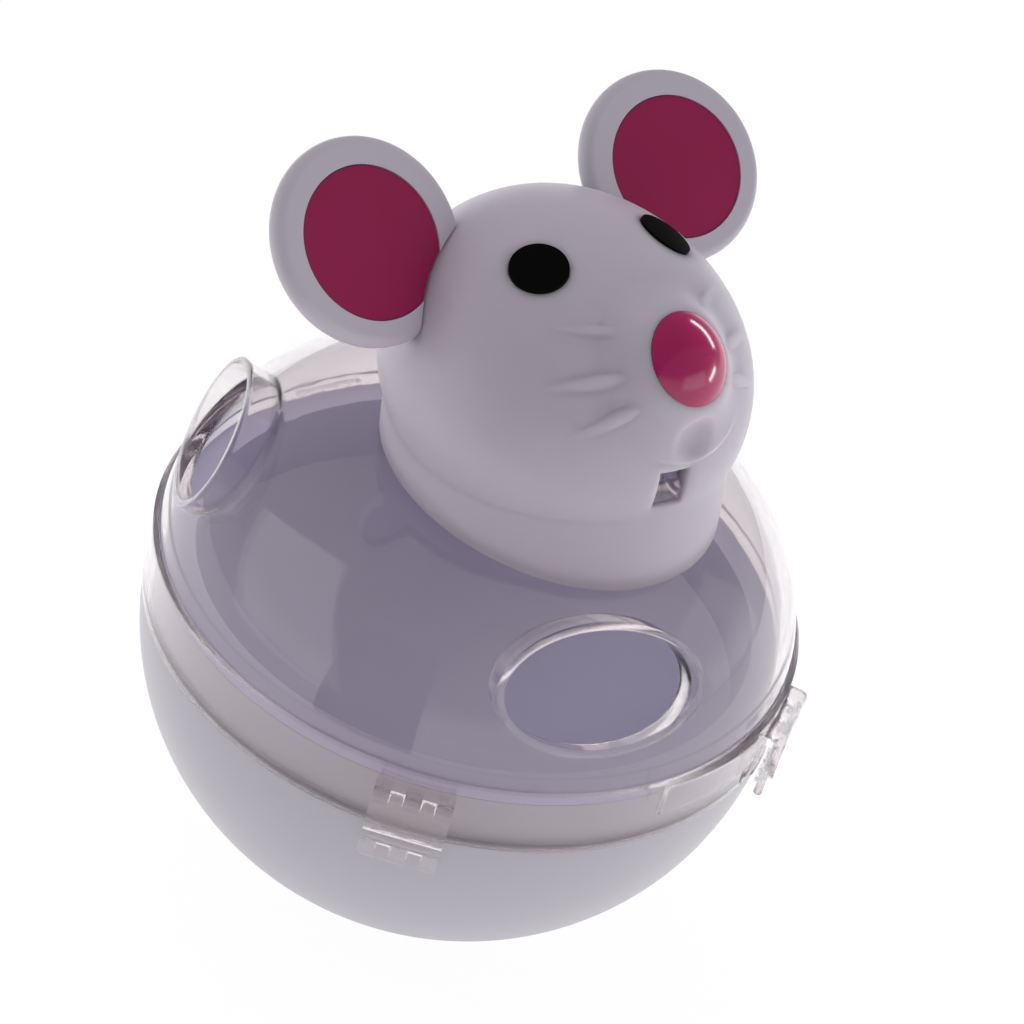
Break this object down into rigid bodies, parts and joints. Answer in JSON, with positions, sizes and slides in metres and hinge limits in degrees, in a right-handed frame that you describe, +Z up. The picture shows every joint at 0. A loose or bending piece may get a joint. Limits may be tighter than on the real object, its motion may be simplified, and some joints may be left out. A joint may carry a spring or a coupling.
{
  "type": "roly-poly treat ball",
  "caption": "Roly-poly mouse treat ball: weighted round bowl with an inner tray, a clear clip-on dome with hooded treat holes, and a hollow mouse head with round ears on top.",
  "frame": {"origin": "centre of the small flat under the bowl, on the ball's axis", "axes": "+Z up along the ball's axis, -Y the way the mouse faces, +X its left"},
  "size_m": [0.07, 0.0724, 0.0888],
  "materials": {
    "bowl_plastic": "smooth moulded, satin gloss",
    "tray_plastic": "smooth moulded, satin gloss",
    "clear_plastic": "clear, polished",
    "head_plastic": "smooth moulded, satin gloss",
    "magenta_plastic": "satin",
    "nose_plastic": "polished",
    "black_plastic": "satin",
    "ballast_steel": "zinc plated"
  },
  "bodies": {
    "base": {"bowl": "bowl_plastic", "ballast_weight": "ballast_steel", "treat_tray": "tray_plastic"},
    "lid": {"clear_dome": "clear_plastic", "head_shell": "head_plastic", "left_ear": "head_plastic", "right_ear": "head_plastic", "left_ear_inlay": "magenta_plastic", "right_ear_inlay": "magenta_plastic", "nose": "nose_plastic", "left_eye": "black_plastic", "right_eye": "black_plastic"}
  },
  "joints": [
    {"name": "lid_lift", "type": "slide", "parent": "base", "child": "lid", "axis": [0, 0, 1], "range_m": [0, 0.045]}
  ]
}
